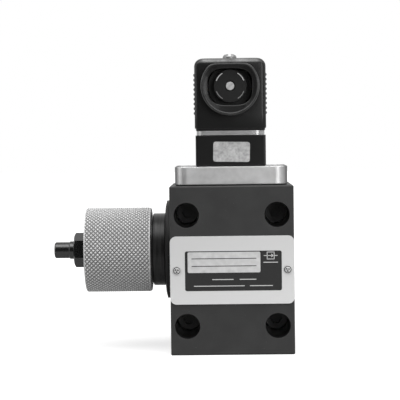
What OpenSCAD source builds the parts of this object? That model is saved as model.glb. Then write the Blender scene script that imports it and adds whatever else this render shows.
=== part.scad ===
// Subplate-mounted hydraulic pressure valve block with a knurled setting knob, a lock nut
// and an electrical plug connector on top. Millimetres.
// The origin is the centre of the four-screw pattern on the mounting face. +Y leaves that
// face, +Z is up, and the knob points to -X along the setting axis.

/* [Body] */
// Width of the body
body_w = 48; // [48:0.5:52]
// Depth from the front face to the mounting face
body_d = 44; // [44:0.5:48]
// Height of the body
body_h = 65.5; // [64:0.5:70]
// Chamfer along every edge of the body
body_chamfer = 0.4; // [0.2:0.1:0.8]
// Height of the setting axis above the centre of the screw pattern
axis_up = 7; // [6:0.5:7]

/* [Mounting screws] */
// Distance between the screws across the body
bolt_dx = 35; // [34.5:0.5:35]
// Distance between the screws up the body
bolt_dz = 43; // [43:0.5:45]
// Thread diameter of the mounting screws
bolt_d = 5; // [4.8:0.1:5]
// Diameter of the clearance holes
bolt_hole_d = 5.5; // [5.3:0.1:5.8]
// Diameter of the counterbores
counterbore_d = 9.7; // [9.2:0.1:9.8]
// Depth of the counterbores from the front face
counterbore_depth = 29; // [24:1:30]
// How far the screws stand out of the mounting face
bolt_reach = 10; // [6:1:14]

/* [Knob] */
// Diameter over the knurl
knob_d = 33.6; // [32:0.1:36]
// Length of the knob
knob_l = 26.1; // [25:0.1:28]
// Depth of the hollow that slides over the guide sleeve
knob_hollow = 17; // [16.6:0.2:18]
// Width of the chamfer on both rims
knob_chamfer = 0.9; // [0.5:0.1:1.2]

/* [Guide bush] */
// Diameter of the ring against the body
flange_d = 39; // [34:0.1:40]
// Thickness of that ring
flange_t = 2.1; // [1.8:0.1:2.4]
// Diameter of the neck
neck_d = 28.8; // [27.4:0.1:29]
// Length of the neck
neck_l = 5.1; // [4:0.1:5.4]
// Diameter of the guide sleeve inside the knob
sleeve_d = 26.9; // [26:0.1:27]
// Gap between the neck and the knob
knob_gap = 0.7; // [0.7:0.1:1.5]

/* [Spindle and lock nut] */
// Thread diameter of the spindle
spindle_d = 8; // [7.6:0.2:8]
// Diameter of the stem beyond the lock nut
stem_d = 6.5; // [5.5:0.1:6.8]
// Length of the stem beyond the lock nut
stem_l = 8; // [6:0.1:10]
// Width across the flats of the lock nut
nut_af = 12; // [12:0.5:14]
// Thickness of the lock nut
nut_t = 4.4; // [3.5:0.1:5]
// Thickness of the washer under the lock nut
nut_washer_t = 0.5; // [0.4:0.1:0.8]

/* [Pressure element] */
// Bore of the spring chamber
chamber_d = 15.4; // [15.2:0.1:15.6]
// Wire diameter of the main spring
spring_wire = 1.9; // [1.6:0.1:2]
// Outside diameter of the main spring
spring_d = 13.6; // [13:0.1:14]
// Diameter of the piston
piston_d = 5; // [4:0.2:5.4]

/* [Cover plate] */
// Width of the cover plate
plate_w = 43.7; // [42:0.1:44]
// Depth of the cover plate
plate_d = 39; // [38:0.5:41]
// Thickness of the cover plate
plate_h = 6.8; // [6:0.1:8]
// Radius of its upright corners
plate_r = 4.7; // [4:0.1:5]

/* [Connector] */
// Width and depth of the connector base
base_w = 27.4; // [27:0.2:28]
// Height of the connector base
base_h = 11.8; // [10.8:0.2:13]
// Width and depth of the profile gasket
gasket_w = 26.7; // [25:0.1:26.8]
// Height of the profile gasket
gasket_h = 1.8; // [1.8:0.1:3]
// Width and depth of the plug housing
plug_w = 27.9; // [27.4:0.1:28.4]
// Height of the plug housing
plug_h = 28.3; // [27.5:0.1:30]
// Number of grip ribs on each side of the plug
rib_count = 9; // [6:1:9]
// Distance between the ribs
rib_pitch = 1.87; // [1.7:0.01:1.9]
// Outside diameter of the cable boss
boss_d = 22.8; // [21:0.2:23]
// Diameter of the cable opening
cable_d = 17.1; // [16.8:0.1:17.6]
// Height of the cable opening between its flats
cable_h = 14.9; // [14.4:0.1:15.4]

/* [Nameplate] */
// Height of the nameplate
name_h = 26.3; // [22:0.1:28]
// Radius of its corners
name_r = 2.4; // [1:0.1:3]
// Thickness of the nameplate
name_t = 0.5; // [0.3:0.1:0.8]

/* [Hidden] */
$fn = 96;
eps = 0.01;
// Running clearance on a radius
run = 0.06;
// Clearance on a radius between pieces that stay together
still = 0.03;
left_x = -body_w / 2;
front_y = -body_d;
axis_y = -body_d / 2;
top_z = body_h / 2;

// Mounting face
port_d = 3.5;
port_seat_d = 8.2;
port_seat_depth = 1.2;
port_ring_wire = 1.5;
pressure_port_x = 16;
drain_port_x = 0;
bolt_shank_d = 4.5;
bolt_head_d = 8.5;
bolt_head_h = 5;
bolt_socket_af = 4;
bolt_socket_depth = 2.5;
bolt_floor_y = front_y + counterbore_depth;

// Setting axis, read along X
thread_l = 10;
thread_d = 16;
thread_end_x = left_x + thread_l;
bush_ring_wire = 1.6;
bush_ring_seat_d = 19.4;
flange_x = left_x - flange_t;
flange_rim_t = 1.6;
flange_flat_d = 35;
neck_x = flange_x - neck_l;
knob_x1 = neck_x - knob_gap;
knob_x0 = knob_x1 - knob_l;
knob_floor_x = knob_x1 - knob_hollow;
sleeve_l = 15;
sleeve_x = knob_x1 - sleeve_l;
sleeve_gap = 0.1;
washer_x = knob_x0 - nut_washer_t;
nut_x = washer_x - nut_t;
nut_turn = 53;
collar_d = 7.1;
collar_l = 1.8;
stem_x = nut_x - stem_l;
seat_x = -7.6;
seat_t = 2;
seat_d = chamber_d - 0.6;
pilot_d = 8.6;
ball_r = 2;
ball_x = seat_x - 1.2;
spindle_end_x = ball_x - ball_r - 0.1;
spindle_tip_d = 6;
plate_x = 8;
plate_t = 2;
stop_x = plate_x + plate_t;
spring_x0 = seat_x + seat_t;
spring_turns = 5;
spring_dead = 1;

// Piston cartridge
cartridge_d = 12;
cartridge_flange_l = 4;
cartridge_body_d = 9;
cartridge_end_x = 19;
piston_end_x = 17;
feed_x = 18;
feed_d = 1.6;
seal_x = 12;
seal_l = 1.4;
seal_d = 7;
cartridge_ring_wire = 1.3;
cartridge_ring_x = stop_x + 2;

// Switch chamber and microswitch
pocket_w = 22.8;
pocket_d = 22;
pocket_z = 21;
arm_w = 4;
arm_top = 26.3;
arm_travel = 0.85;
case_l = 19.8;
case_w = 10.2;
case_h = 6.4;
case_x1 = 6.7;
case_x0 = case_x1 - case_w;
lid_t = 1;
case_wall = 0.8;
button_d = 2.4;
button_z = pocket_z + case_h / 2;
button_in = 1.6;
terminal_pitch = 7;
terminal_l = 4;
terminal_w = 3;
terminal_t = 0.6;
fixing_pitch = 9.5;
fixing_x = case_x0 + 2.6;
fixing_d = 2;
wire_d = 1.2;

// Stack above the body, read along Z
cover_gasket_t = 0.5;
plate_z = top_z + cover_gasket_t;
base_gasket_t = 0.4;
base_seat_z = plate_z + plate_h;
base_z = base_seat_z + base_gasket_t;
gasket_z = base_z + base_h;
gasket_r = 3.6;
plug_z = gasket_z + gasket_h;
plug_top = plug_z + plug_h;
cover_screw_x = plate_w / 2 - 4.3;
cover_screw_y = plate_d / 2 - 4.3;
cover_screw_z = 28;
cover_head_d = 5.6;
cover_head_h = 1.3;
m3 = 3;
window_d = 21.6;
base_screw_at = 10.9;
base_screw_d = 2.5;
base_screw_head_d = 4.4;
base_screw_l = 15;

// Plug and its contacts
blade_at = 9;
phase_sides = [0, 90, 180];
earth_side = [270];
all_sides = [0, 90, 180, 270];
blade_w = 6.3;
blade_t = 0.8;
blade_foot_z = plate_z + 5;
blade_top_z = gasket_z + 11.4;
plug_wall = 2.1;
plug_roof = 3;
plug_lip_h = 0.8;
plug_lip_in = 0.4;
plug_side_r = 1.8;
plug_top_r = 2.8;
plug_edge_r = 2.6;
boss_root = 1.5;
rib_r = 0.65;
rib_out = 0.45;
rib_l = 21;
rib_top = plug_top - 6.45;
cable_z = plug_top - 11.05;
boss_l = 5.85;
boss_y = axis_y - plug_w / 2 - boss_l;
boss_flat_z = plug_top - 2.3;
boss_lip = 1.3;
insert_w = plug_w - 2 * plug_wall - 0.8;
insert_h = 15.4;
slot_w = blade_w + 0.8;
slot_t = 1.8;
contact_gap = 1;
contact_wall = 0.3;
terminal_screw_d = 2.5;
screw_head_d = 5.5;
screw_head_h = 1.8;
screw_head_z = plug_top + 0.3;
screw_recess_d = 7;
screw_recess_h = 0.8;
screw_end_z = base_z + 4.8;
screw_ring_wire = 1.1;
screw_slot = 1.1;
screw_slot_depth = 0.95;
insert_nut_d = 5.2;
insert_nut_h = 8;

// Cable opening, read along Y
disc_d = 12.6;
disc_y = boss_y + 3;
disc_l = 3.6;
ridge_r = 5.7;
ridge_w = 0.35;
ridge_out = 0.3;
ridge_span = 19;
washer_y = disc_y + disc_l;
washer_t = 0.5;
seal_y = washer_y + washer_t;
seal_end_y = axis_y - plug_w / 2 + plug_wall;
disc_recess_d = 4.1;
disc_recess_depth = 0.9;
disc_screw_d = 3.2;
disc_screw_shank = 2;

// Labels
label_w = 14.3;
label_h = 7.8;
label_r = 1;
label_t = 0.15;
label_x = 0.3;
label_up = 5.3;
label_turn = 1.2;
rivet_x = body_w / 2 - 2.6;
rivet_d = 3.1;
rivet_shank_d = 1.6;
rivet_head_h = 0.7;
rivet_l = 4;
name_z = 0.25;

// ---- Placing ----

// Turns a shape drawn along Z onto the setting axis, so that its heights read as X
module on_axis() {
  translate([0, axis_y, axis_up])
    rotate([0, 90, 0])
      children();
}

// Turns a shape drawn along Z to face the front: heights count from y towards the viewer
module facing_front(x, y, z) {
  translate([x, y, z])
    rotate([90, 0, 0])
      children();
}

// Repeats a shape at the four corners of a rectangle in the XY plane
module at_corners(x, y) {
  for (sx = [-1, 1], sy = [-1, 1])
    translate([sx * x, sy * y, 0])
      children();
}

// Repeats a shape at each mounting screw, with Z turned to leave the mounting face
module at_bolts(y) {
  for (sx = [-1, 1], sz = [-1, 1])
    translate([sx * bolt_dx / 2, y, sz * bolt_dz / 2])
      rotate([-90, 0, 0])
        children();
}

// Places the upright stack over the middle of the body
module on_stack(z) {
  translate([0, axis_y, z])
    children();
}

// ---- Shapes ----

module round_rect(w, d, r) {
  square([w - 2 * r, d], center = true);
  square([w, d - 2 * r], center = true);
  at_corners(w / 2 - r, d / 2 - r)
    circle(r);
}

// Upright plate with rounded corners, standing on z = 0
module round_plate(w, d, h, r) {
  linear_extrude(h)
    round_rect(w, d, r);
}

// Outline with only its two upper corners rounded, standing on the X axis
module arched_rect(w, h, r) {
  intersection() {
    round_rect(w, 2 * h, r);
    translate([-w / 2, 0])
      square([w, h]);
  }
}

module chamfered_rect(w, h, c) {
  polygon([
    [-w / 2 + c, -h / 2], [w / 2 - c, -h / 2], [w / 2, -h / 2 + c], [w / 2, h / 2 - c],
    [w / 2 - c, h / 2], [-w / 2 + c, h / 2], [-w / 2, h / 2 - c], [-w / 2, -h / 2 + c]
  ]);
}

module chamfered_box(w, d, h, c) {
  intersection() {
    linear_extrude(h, center = true)
      chamfered_rect(w, d, c);
    rotate([90, 0, 0])
      linear_extrude(d, center = true)
        chamfered_rect(w, h, c);
    rotate([0, 90, 0])
      linear_extrude(w, center = true)
        chamfered_rect(h, d, c);
  }
}

module tube(outer_d, inner_d, h) {
  difference() {
    cylinder(d = outer_d, h = h);
    translate([0, 0, -eps])
      cylinder(d = inner_d, h = h + 2 * eps);
  }
}

// Ring of round section lying on z = 0, measured over its outside
module o_ring(outer_d, wire) {
  translate([0, 0, wire / 2])
    rotate_extrude()
      translate([(outer_d - wire) / 2, 0])
        circle(d = wire);
}

// Six-sided prism of the given width across its flats
module hex_prism(af, h) {
  cylinder(d = af / cos(30), h = h, $fn = 6);
}

// Screw standing head up: the underside of its cylindrical head is at z = 0
module cap_screw(d, l, head_d, head_h) {
  cylinder(d = head_d, h = head_h);
  translate([0, 0, -l])
    cylinder(d = d, h = l + eps);
}

// Screw with a flush countersunk head: its top is at z = 0
module flush_screw(d, l, head_d, head_h) {
  difference() {
    union() {
      translate([0, 0, -head_h])
        cylinder(d1 = d, d2 = head_d, h = head_h);
      translate([0, 0, -l])
        cylinder(d = d, h = l - head_h + eps);
    }
    cube([head_d, head_d / 6, head_h], center = true);
  }
}

module flush_hole(d, l, head_d, head_h) {
  translate([0, 0, -head_h - still])
    cylinder(d1 = d + 2 * still, d2 = head_d + 4 * still, h = head_h + 2 * still);
  translate([0, 0, -l])
    cylinder(d = d + 2 * still, h = l);
}

// ---- Body and mounting face ----

module bolt_holes() {
  at_bolts(front_y - eps)
    cylinder(d = counterbore_d, h = counterbore_depth + eps);
  at_bolts(front_y)
    cylinder(d = bolt_hole_d, h = body_d + eps);
}

module port(x) {
  translate([x, 0, axis_up])
    rotate([90, 0, 0]) {
      translate([0, 0, -eps])
        cylinder(d = port_seat_d, h = port_seat_depth + eps);
      cylinder(d = port_d, h = body_d / 2 - cartridge_body_d / 2 - 1);
    }
}

// Stepped bore for the guide bush, the spring and the piston cartridge
module axis_bore() {
  on_axis() {
    translate([0, 0, left_x - eps])
      cylinder(d = bush_ring_seat_d, h = bush_ring_wire - 0.1);
    translate([0, 0, left_x - eps])
      cylinder(d = thread_d + 2 * still, h = thread_end_x - left_x + eps);
    translate([0, 0, thread_end_x - eps])
      cylinder(d = chamber_d, h = stop_x - thread_end_x + eps);
    translate([0, 0, stop_x - eps])
      cylinder(d = cartridge_d + 2 * still, h = cartridge_end_x - stop_x + eps);
  }
}

module switch_pocket() {
  translate([-pocket_w / 2, axis_y - pocket_d / 2, pocket_z])
    cube([pocket_w, pocket_d, top_z - pocket_z + eps]);
}

// Slot in which the arm of the spring plate swings through to the switch
module arm_slot() {
  translate([plate_x - arm_travel, axis_y - arm_w / 2 - 0.5, axis_up])
    cube([plate_t + arm_travel + 0.4, arm_w + 1, pocket_z - axis_up + eps]);
}

module valve_body() {
  color("dimgray")
    difference() {
      translate([0, axis_y, 0])
        chamfered_box(body_w, body_d, body_h, body_chamfer);
      bolt_holes();
      port(pressure_port_x);
      port(drain_port_x);
      axis_bore();
      switch_pocket();
      arm_slot();
      on_stack(top_z + eps)
        at_corners(cover_screw_x, cover_screw_y)
          translate([0, 0, cover_screw_z - top_z - 0.2])
            cylinder(d = m3 + 2 * still, h = top_z - cover_screw_z + 0.3);
      for (sx = [-1, 1])
        facing_front(sx * rivet_x, front_y + rivet_l + 0.2, name_z)
          cylinder(d = rivet_shank_d + 2 * still, h = rivet_l + 0.3);
      for (sy = [-1, 1])
        translate([fixing_x, axis_y + sy * fixing_pitch / 2, pocket_z - 3.2])
          cylinder(d = fixing_d + 2 * still, h = 3.3);
    }
}

// Screws with a reduced shank inside the body and their thread outside it
module mounting_screws() {
  color("black")
    at_bolts(bolt_floor_y)
      rotate([180, 0, 0])
        difference() {
          union() {
            cap_screw(bolt_shank_d, eps - bolt_floor_y, bolt_head_d, bolt_head_h);
            translate([0, 0, bolt_floor_y - bolt_reach])
              cylinder(d = bolt_d, h = bolt_reach);
          }
          translate([0, 0, bolt_head_h - bolt_socket_depth])
            hex_prism(bolt_socket_af, bolt_socket_depth + eps);
        }
}

module port_o_rings() {
  color("black")
    for (x = [drain_port_x, pressure_port_x])
      translate([x, -port_seat_depth, axis_up])
        rotate([-90, 0, 0])
          o_ring(port_seat_d - 0.2, port_ring_wire);
}

module nameplate() {
  color("silver")
    difference() {
      facing_front(0, front_y, name_z)
        round_plate(body_w, name_h, name_t, name_r);
      for (sx = [-1, 1])
        facing_front(sx * rivet_x, front_y + eps, name_z)
          cylinder(d = rivet_shank_d + 2 * still, h = name_t + 2 * eps);
    }
}

module nameplate_rivets() {
  color("gainsboro")
    for (sx = [-1, 1])
      facing_front(sx * rivet_x, front_y - name_t, name_z)
        difference() {
          union() {
            cylinder(d1 = rivet_d, d2 = rivet_d - 0.8, h = rivet_head_h);
            translate([0, 0, -rivet_l])
              cylinder(d = rivet_shank_d, h = rivet_l + eps);
          }
          translate([0, 0, rivet_head_h - 0.2])
            tube(1.7, 1, 0.3);
        }
}

// ---- Setting gear ----

module flange_ring() {
  color("black")
    on_axis()
      rotate_extrude()
        polygon([
          [thread_d / 2 + still, left_x], [flange_d / 2 - 0.15, left_x],
          [flange_d / 2, left_x - 0.15], [flange_d / 2, left_x - flange_rim_t],
          [flange_flat_d / 2, flange_x], [thread_d / 2 + still, flange_x]
        ]);
}

module guide_bush() {
  neck_chamfer = 0.35;
  color("black")
    on_axis()
      rotate_extrude()
        polygon([
          [spindle_d / 2 + run, thread_end_x], [thread_d / 2 - 0.6, thread_end_x],
          [thread_d / 2, thread_end_x - 0.6], [thread_d / 2, flange_x],
          [neck_d / 2 - neck_chamfer, flange_x], [neck_d / 2, flange_x - neck_chamfer],
          [neck_d / 2, neck_x + neck_chamfer], [neck_d / 2 - neck_chamfer, neck_x],
          [sleeve_d / 2, neck_x], [sleeve_d / 2, sleeve_x + 0.5],
          [sleeve_d / 2 - 0.5, sleeve_x], [spindle_d / 2 + run, sleeve_x]
        ]);
}

module bush_o_ring() {
  color("black")
    on_axis()
      translate([0, 0, left_x])
        o_ring(bush_ring_seat_d - 0.1, bush_ring_wire - 0.15);
}

module knob() {
  color("silver")
    on_axis()
      rotate_extrude()
        polygon([
          [spindle_d / 2 + still, knob_x0], [knob_d / 2 - knob_chamfer, knob_x0],
          [knob_d / 2, knob_x0 + knob_chamfer], [knob_d / 2, knob_x1 - knob_chamfer],
          [knob_d / 2 - knob_chamfer, knob_x1], [sleeve_d / 2 + sleeve_gap, knob_x1],
          [sleeve_d / 2 + sleeve_gap, knob_floor_x], [spindle_d / 2 + still, knob_floor_x]
        ]);
}

module spindle() {
  stem_chamfer = 0.5;
  color("black")
    on_axis()
      rotate_extrude()
        polygon([
          [0, stem_x], [stem_d / 2 - stem_chamfer, stem_x],
          [stem_d / 2, stem_x + stem_chamfer], [stem_d / 2, nut_x - collar_l - 0.3],
          [collar_d / 2, nut_x - collar_l], [collar_d / 2, nut_x - 0.3],
          [spindle_d / 2, nut_x], [spindle_d / 2, thread_end_x - 1],
          [spindle_tip_d / 2, thread_end_x], [spindle_tip_d / 2, spindle_end_x],
          [0, spindle_end_x]
        ]);
}

module nut_washer() {
  color("black")
    on_axis()
      translate([0, 0, washer_x])
        tube(nut_af, spindle_d + 2 * run, nut_washer_t);
}

// Hexagon nut with its outer corners turned to a cone
module lock_nut() {
  color("black")
    on_axis()
      translate([0, 0, nut_x])
        difference() {
          intersection() {
            rotate([0, 0, nut_turn])
              hex_prism(nut_af, nut_t);
            cylinder(r1 = nut_af / 2 - 0.1, r2 = nut_af / 2 - 0.1 + 2 * nut_t, h = nut_t);
          }
          translate([0, 0, -eps])
            cylinder(d = spindle_d + 2 * run, h = nut_t + 2 * eps);
        }
}

module thrust_ball() {
  color("silver")
    on_axis()
      translate([0, 0, ball_x])
        sphere(r = ball_r);
}

module spring_seat() {
  cup_depth = ball_x + ball_r - seat_x + 0.05;
  color("gray")
    on_axis()
      difference() {
        union() {
          translate([0, 0, seat_x])
            cylinder(d = seat_d, h = seat_t);
          translate([0, 0, seat_x + seat_t - eps])
            cylinder(d = pilot_d, h = seat_t);
        }
        translate([0, 0, seat_x - eps])
          cylinder(r = ball_r + 0.1, h = cup_depth);
      }
}

// Distance of the wire's centre from the first end, where u counts turns
function coil_x(u, pitch, dead_pitch) =
  u < spring_dead ? u * dead_pitch
  : u > spring_turns - spring_dead
    ? spring_dead * dead_pitch + (spring_turns - 2 * spring_dead) * pitch
      + (u - spring_turns + spring_dead) * dead_pitch
    : spring_dead * dead_pitch + (u - spring_dead) * pitch;

function coil_ring(u, x, mean_r, sides) = [
  for (k = [0 : sides - 1])
    let (a = 360 * k / sides, r = mean_r + spring_wire / 2 * cos(a))
      [r * cos(360 * u), r * sin(360 * u), x + spring_wire / 2 * sin(a)]
];

module main_spring() {
  sides = 12;
  steps = 28 * spring_turns;
  mean_r = (spring_d - spring_wire) / 2;
  dead_pitch = spring_wire + 0.06;
  wire_span = plate_x - spring_x0 - spring_wire - 0.04;
  pitch = (wire_span - 2 * spring_dead * dead_pitch) / (spring_turns - 2 * spring_dead);
  start_x = spring_x0 + spring_wire / 2 + 0.02;
  points = [
    for (i = [0 : steps])
      let (u = i * spring_turns / steps)
        each coil_ring(u, start_x + coil_x(u, pitch, dead_pitch), mean_r, sides)
  ];
  skin = [
    for (i = [0 : steps - 1], k = [0 : sides - 1])
      let (a = i * sides + k, b = i * sides + (k + 1) % sides)
        each [[a, b, b + sides], [a, b + sides, a + sides]]
  ];
  first_cap = [for (k = [0 : sides - 1]) sides - 1 - k];
  last_cap = [for (k = [0 : sides - 1]) steps * sides + k];
  color("silver")
    on_axis()
      polyhedron(points, concat(skin, [first_cap, last_cap]));
}

// Disc under the spring with the arm that works the switch
module spring_plate() {
  color("gray") {
    on_axis() {
      translate([0, 0, plate_x])
        cylinder(d = seat_d, h = plate_t);
      translate([0, 0, plate_x - plate_t])
        cylinder(d = pilot_d, h = plate_t + eps);
    }
    translate([plate_x, axis_y - arm_w / 2, axis_up])
      cube([plate_t, arm_w, arm_top - axis_up]);
  }
}

module piston() {
  color("silver")
    on_axis()
      translate([0, 0, stop_x])
        cylinder(d = piston_d, h = piston_end_x - stop_x);
}

module piston_seal() {
  color("green")
    on_axis()
      translate([0, 0, seal_x])
        tube(seal_d - 2 * still, piston_d + 2 * run, seal_l);
}

module piston_cartridge() {
  ring_groove = cartridge_ring_wire + 0.2;
  color("silver")
    on_axis()
      difference() {
        union() {
          translate([0, 0, stop_x])
            cylinder(d = cartridge_d, h = cartridge_flange_l);
          translate([0, 0, stop_x])
            cylinder(d = cartridge_body_d, h = cartridge_end_x - stop_x);
        }
        translate([0, 0, stop_x - eps])
          cylinder(d = piston_d + 2 * run, h = cartridge_end_x - stop_x + 2 * eps);
        translate([0, 0, seal_x - still])
          cylinder(d = seal_d, h = seal_l + 2 * still);
        translate([0, 0, cartridge_ring_x - ring_groove / 2])
          tube(cartridge_d + 1, cartridge_d - 2 * cartridge_ring_wire, ring_groove);
        for (turn = [0, 90])
          translate([0, 0, feed_x])
            rotate([90, 0, turn])
              cylinder(d = feed_d, h = cartridge_d, center = true);
      }
}

module cartridge_o_ring() {
  color("black")
    on_axis()
      translate([0, 0, cartridge_ring_x - cartridge_ring_wire / 2])
        o_ring(cartridge_d, cartridge_ring_wire - 0.05);
}

// ---- Microswitch ----

// Places the switch, with its length along Y and its button towards +X
module in_case(x, y, z) {
  translate([case_x0 + x, axis_y - case_l / 2 + y, pocket_z + z])
    children();
}

module fixing_holes(h) {
  for (sy = [-1, 1])
    translate([fixing_x, axis_y + sy * fixing_pitch / 2, pocket_z - eps])
      cylinder(d = fixing_d + 2 * still, h = h + 2 * eps);
}

module switch_case() {
  inner_w = case_w - 2 * case_wall - 3.4;
  color("darkslategray")
    difference() {
      in_case(0, 0, 0)
        cube([case_w, case_l, case_h - lid_t]);
      in_case(case_w - case_wall - inner_w, case_wall, case_wall)
        cube([inner_w, case_l - 2 * case_wall, case_h]);
      translate([case_x1 - case_wall - eps, axis_y, button_z])
        rotate([0, 90, 0])
          cylinder(d = button_d + 2 * run, h = case_wall + 2 * eps);
      fixing_holes(case_h);
    }
}

module switch_lid() {
  color("slategray")
    difference() {
      in_case(0, 0, case_h - lid_t)
        cube([case_w, case_l, lid_t]);
      fixing_holes(case_h);
    }
}

module switch_button() {
  color("red")
    translate([case_x1 - button_in, axis_y, button_z])
      rotate([0, 90, 0])
        cylinder(d = button_d, h = plate_x - case_x1 + button_in);
}

module switch_terminals() {
  color("gold")
    for (i = [-1 : 1])
      translate([case_x0 - terminal_l, axis_y + i * terminal_pitch - terminal_t / 2,
                 button_z - terminal_w / 2])
        cube([terminal_l, terminal_t, terminal_w]);
}

module switch_screws() {
  color("silver")
    for (sy = [-1, 1])
      translate([fixing_x, axis_y + sy * fixing_pitch / 2, pocket_z + case_h])
        cap_screw(fixing_d, case_h + 3, 3.6, 1.4);
}

function unit(v) = v / norm(v);

// Slides a ring's points along a run until they lie in the plane through p square to t
function mitred(ring, run_v, p, t) = [
  for (q = ring) q + run_v * ((p - q) * t) / (run_v * t)
];

// Rings of a wire from point i on, each corner cut at half its bend
function wire_rings(points, i, ring) =
  i == len(points) - 1 ? [ring]
  : let (
      here = points[i + 1],
      run_v = unit(here - points[i]),
      next_v = i + 2 < len(points) ? unit(points[i + 2] - here) : run_v
    )
    concat([ring], wire_rings(points, i + 1, mitred(ring, run_v, here, unit(run_v + next_v))));

// Wire that starts along -X and runs straight between the listed points
module wire(points) {
  sides = 12;
  first = [
    for (k = [0 : sides - 1])
      points[0] + wire_d / 2 * [0, cos(360 * k / sides), sin(360 * k / sides)]
  ];
  rings = wire_rings(points, 0, first);
  last = len(rings) - 1;
  skin = [
    for (i = [0 : last - 1], k = [0 : sides - 1])
      let (a = i * sides + k, b = i * sides + (k + 1) % sides)
        each [[a, b, b + sides], [a, b + sides, a + sides]]
  ];
  first_cap = [for (k = [0 : sides - 1]) sides - 1 - k];
  last_cap = [for (k = [0 : sides - 1]) last * sides + k];
  polyhedron([for (ring = rings) each ring], concat(skin, [first_cap, last_cap]));
}

module lead_wires() {
  start_x = case_x0 - terminal_l;
  bend_x = start_x - 1.6;
  low_z = pocket_z + 9.6;
  high_z = pocket_z + 11.3;
  first_y = axis_y - terminal_pitch;
  last_y = axis_y + terminal_pitch;
  color("red")
    wire([[start_x, first_y, button_z], [bend_x, first_y, button_z],
          [bend_x, first_y, high_z - 1], [-blade_at, axis_y, high_z],
          [-blade_at, axis_y, blade_foot_z]]);
  color("blue")
    wire([[start_x, axis_y, button_z], [bend_x, axis_y, button_z],
          [bend_x, axis_y, low_z], [blade_at, axis_y, low_z + 1],
          [blade_at, axis_y, blade_foot_z]]);
  color("gold")
    wire([[start_x, last_y, button_z], [bend_x, last_y, button_z],
          [bend_x, last_y, high_z - 1], [0, axis_y + blade_at, high_z],
          [0, axis_y + blade_at, blade_foot_z]]);
}

// ---- Cover and connector base ----

module cover_gasket() {
  color("black")
    on_stack(top_z)
      difference() {
        round_plate(plate_w - 0.6, plate_d - 0.6, cover_gasket_t, plate_r - 0.3);
        translate([-pocket_w / 2, -pocket_d / 2, -eps])
          cube([pocket_w, pocket_d, cover_gasket_t + 2 * eps]);
        at_corners(cover_screw_x, cover_screw_y)
          translate([0, 0, -eps])
            cylinder(d = m3 + 2 * still, h = cover_gasket_t + 2 * eps);
      }
}

module cover_plate() {
  color("lightgray")
    on_stack(plate_z)
      difference() {
        round_plate(plate_w, plate_d, plate_h, plate_r);
        translate([0, 0, -eps])
          cylinder(d = window_d, h = plate_h + 2 * eps);
        at_corners(cover_screw_x, cover_screw_y)
          translate([0, 0, plate_h])
            flush_hole(m3, plate_h + eps, cover_head_d, cover_head_h);
        at_corners(base_screw_at, base_screw_at)
          translate([0, 0, plate_h - 4.5])
            cylinder(d = base_screw_d + 2 * still, h = 4.5 + eps);
      }
}

module cover_screws() {
  color("silver")
    on_stack(base_seat_z)
      at_corners(cover_screw_x, cover_screw_y)
        flush_screw(m3, base_seat_z - cover_screw_z, cover_head_d, cover_head_h);
}

module base_gasket() {
  color("black")
    on_stack(base_seat_z)
      difference() {
        round_plate(base_w - 0.6, base_w - 0.6, base_gasket_t, 0.5);
        translate([0, 0, -eps])
          cylinder(d = window_d, h = base_gasket_t + 2 * eps);
        at_corners(base_screw_at, base_screw_at)
          translate([0, 0, -eps])
            cylinder(d = base_screw_d + 2 * still, h = base_gasket_t + 2 * eps);
      }
}

// Repeats a shape round the middle screw, one for each listed turn
module at_blades(sides) {
  for (turn = sides)
    rotate([0, 0, turn])
      translate([blade_at, 0, 0])
        children();
}

module connector_base() {
  color("black")
    on_stack(base_z)
      difference() {
        round_plate(base_w, base_w, base_h, 0.6);
        translate([0, 0, base_h - insert_nut_h])
          cylinder(d = insert_nut_d + 2 * still, h = insert_nut_h + eps);
        at_blades(all_sides)
          translate([-blade_t / 2 - still, -blade_w / 2 - still, -eps])
            cube([blade_t + 2 * still, blade_w + 2 * still, base_h + 2 * eps]);
        at_corners(base_screw_at, base_screw_at)
          translate([0, 0, base_h])
            flush_hole(base_screw_d, base_h + eps, base_screw_head_d, 1.2);
      }
}

module base_screws() {
  color("silver")
    on_stack(gasket_z)
      at_corners(base_screw_at, base_screw_at)
        flush_screw(base_screw_d, base_screw_l, base_screw_head_d, 1.2);
}

module base_label() {
  color("lightgray")
    facing_front(label_x, axis_y - base_w / 2, base_z + label_up)
      rotate([0, 0, -label_turn])
        round_plate(label_w, label_h, label_t, label_r);
}

module blade() {
  translate([-blade_t / 2, -blade_w / 2, blade_foot_z - base_z])
    cube([blade_t, blade_w, blade_top_z - blade_foot_z]);
}

module contact_blades() {
  color("silver")
    on_stack(base_z)
      at_blades(phase_sides)
        blade();
}

// Earth blade with the foot that meets the cover plate
module earth_blade() {
  foot_l = window_d / 2 - blade_at;
  color("silver")
    on_stack(base_z)
      at_blades(earth_side) {
        blade();
        translate([0, -1.5, blade_foot_z - base_z])
          cube([foot_l - 0.15, 3, blade_t]);
      }
}

module threaded_insert() {
  color("gold")
    on_stack(gasket_z - insert_nut_h)
      difference() {
        cylinder(d = insert_nut_d, h = insert_nut_h);
        translate([0, 0, 1])
          cylinder(d = m3 + 2 * run, h = insert_nut_h);
      }
}

// Square gasket with two lips round its edge
module plug_gasket() {
  groove = 0.35;
  color("gray")
    on_stack(gasket_z)
      difference() {
        union() {
          round_plate(gasket_w - 2 * groove, gasket_w - 2 * groove, gasket_h, gasket_r - groove);
          for (i = [0 : 2])
            translate([0, 0, i * (gasket_h - 0.5) / 2])
              round_plate(gasket_w, gasket_w, 0.5, gasket_r);
        }
        translate([0, 0, -eps])
          cylinder(d = m3 + 2, h = gasket_h + 2 * eps);
        at_blades(all_sides)
          translate([-slot_t / 2, -slot_w / 2, -eps])
            cube([slot_t, slot_w, gasket_h + 2 * eps]);
      }
}

// ---- Plug ----

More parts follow.
